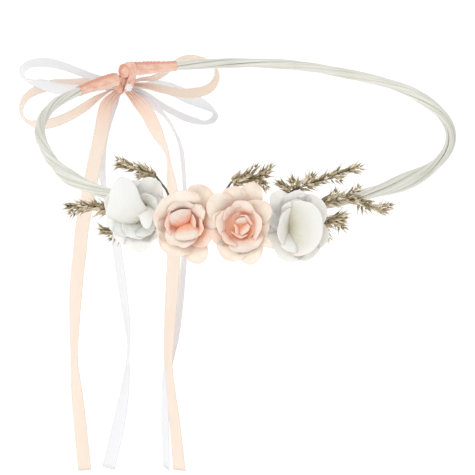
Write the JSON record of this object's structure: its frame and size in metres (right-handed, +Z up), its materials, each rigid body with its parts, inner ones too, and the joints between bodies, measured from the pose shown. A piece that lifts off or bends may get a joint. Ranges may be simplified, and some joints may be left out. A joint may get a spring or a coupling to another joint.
{
  "type": "flower crown",
  "caption": "Head wreath: a twisted fibre ring on a wire core with fabric roses and dried grass at the front, tied at the back by a two-colour satin bow with long tails.",
  "frame": {"origin": "centre of the ring, in the plane of its centreline, which is the centre of the head opening", "axes": "+Z up out of the head opening, -Y to the front where the roses are, +X to the wearer's left seen from the front"},
  "size_m": [0.1839, 0.2266, 0.2146],
  "materials": {
    "raffia": "matt paper raffia",
    "core_wire": "bright wire",
    "peach_satin": "satin",
    "white_satin": "satin",
    "white_petal": "matt",
    "peach_petal": "matt",
    "calyx": "matt",
    "floral_tape": "waxed crepe",
    "grass_stem": "dried stem",
    "grass_husk": "dried husk"
  },
  "bodies": {
    "crown": {"ring_wire": "core_wire", "ring_strand_1": "raffia", "ring_strand_2": "raffia", "ring_strand_3": "raffia", "ring_strand_4": "raffia", "end_wrap_left": "peach_satin", "end_wrap_right": "peach_satin", "tie_band": "peach_satin", "bow_knot": "peach_satin", "white_knot": "white_satin", "rose_white_left_outer_petals": "white_petal", "rose_white_left_inner_petals": "white_petal", "rose_white_left_heart": "white_petal", "rose_white_left_calyx": "calyx", "rose_peach_left_outer_petals": "peach_petal", "rose_peach_left_inner_petals": "peach_petal", "rose_peach_left_heart": "peach_petal", "rose_peach_left_calyx": "calyx", "rose_peach_right_outer_petals": "peach_petal", "rose_peach_right_inner_petals": "peach_petal", "rose_peach_right_heart": "peach_petal", "rose_peach_right_calyx": "calyx", "rose_white_right_outer_petals": "white_petal", "rose_white_right_inner_petals": "white_petal", "rose_white_right_heart": "white_petal", "rose_white_right_calyx": "calyx", "floral_tape_1": "floral_tape", "floral_tape_2": "floral_tape", "floral_tape_3": "floral_tape", "floral_tape_4": "floral_tape", "grass_stem_1": "grass_stem", "grass_stem_2": "grass_stem", "grass_stem_3": "grass_stem", "grass_stem_4": "grass_stem", "grass_stem_5": "grass_stem", "grass_stem_6": "grass_stem", "grass_stem_7": "grass_stem", "grass_husks_1": "grass_husk", "grass_husks_2": "grass_husk", "grass_husks_3": "grass_husk", "grass_husks_4": "grass_husk", "grass_husks_5": "grass_husk", "grass_husks_6": "grass_husk", "grass_husks_7": "grass_husk"},
    "tail_peach_left": {"tail_peach_left": "peach_satin"},
    "tail_white_left": {"tail_white_left": "white_satin"},
    "tail_peach_right": {"tail_peach_right": "peach_satin"},
    "tail_white_right": {"tail_white_right": "white_satin"},
    "loop_white_left": {"loop_white_left": "white_satin"},
    "loop_peach_left": {"loop_peach_left": "peach_satin"},
    "loop_peach_right": {"loop_peach_right": "peach_satin"},
    "loop_white_right": {"loop_white_right": "white_satin"}
  },
  "joints": [
    {"name": "tail_peach_left_swing", "type": "hinge", "parent": "crown", "child": "tail_peach_left", "pos_m": [-0.0522, 0.072, -0.006], "axis": [1, 0, 0], "range_deg": [-60, 15]},
    {"name": "tail_white_left_swing", "type": "hinge", "parent": "crown", "child": "tail_white_left", "pos_m": [-0.0522, 0.072, -0.006], "axis": [1, 0, 0], "range_deg": [-60, 15]},
    {"name": "tail_peach_right_swing", "type": "hinge", "parent": "crown", "child": "tail_peach_right", "pos_m": [-0.0522, 0.072, -0.006], "axis": [1, 0, 0], "range_deg": [-60, 15]},
    {"name": "tail_white_right_swing", "type": "hinge", "parent": "crown", "child": "tail_white_right", "pos_m": [-0.0522, 0.072, -0.006], "axis": [1, 0, 0], "range_deg": [-60, 15]},
    {"name": "loop_white_left_flap", "type": "hinge", "parent": "crown", "child": "loop_white_left", "pos_m": [-0.0522, 0.072, -0.006], "axis": [0, 0, -1], "range_deg": [0, 25], "stiffness_Nm_per_rad": 0.0002},
    {"name": "loop_peach_left_flap", "type": "hinge", "parent": "crown", "child": "loop_peach_left", "pos_m": [-0.0522, 0.072, -0.006], "axis": [0, 0, -1], "range_deg": [0, 25], "stiffness_Nm_per_rad": 0.0002},
    {"name": "loop_peach_right_flap", "type": "hinge", "parent": "crown", "child": "loop_peach_right", "pos_m": [-0.0522, 0.072, -0.006], "axis": [0, 0, 1], "range_deg": [0, 25], "stiffness_Nm_per_rad": 0.0002},
    {"name": "loop_white_right_flap", "type": "hinge", "parent": "crown", "child": "loop_white_right", "pos_m": [-0.0522, 0.072, -0.006], "axis": [0, 0, 1], "range_deg": [0, 25], "stiffness_Nm_per_rad": 0.0002}
  ],
  "couplings": [
    {"joint": "tail_white_left_swing", "follows": "tail_peach_left_swing", "ratio": 1},
    {"joint": "tail_white_right_swing", "follows": "tail_peach_right_swing", "ratio": 1},
    {"joint": "loop_white_left_flap", "follows": "loop_peach_left_flap", "ratio": 1},
    {"joint": "loop_white_right_flap", "follows": "loop_peach_right_flap", "ratio": 1}
  ]
}
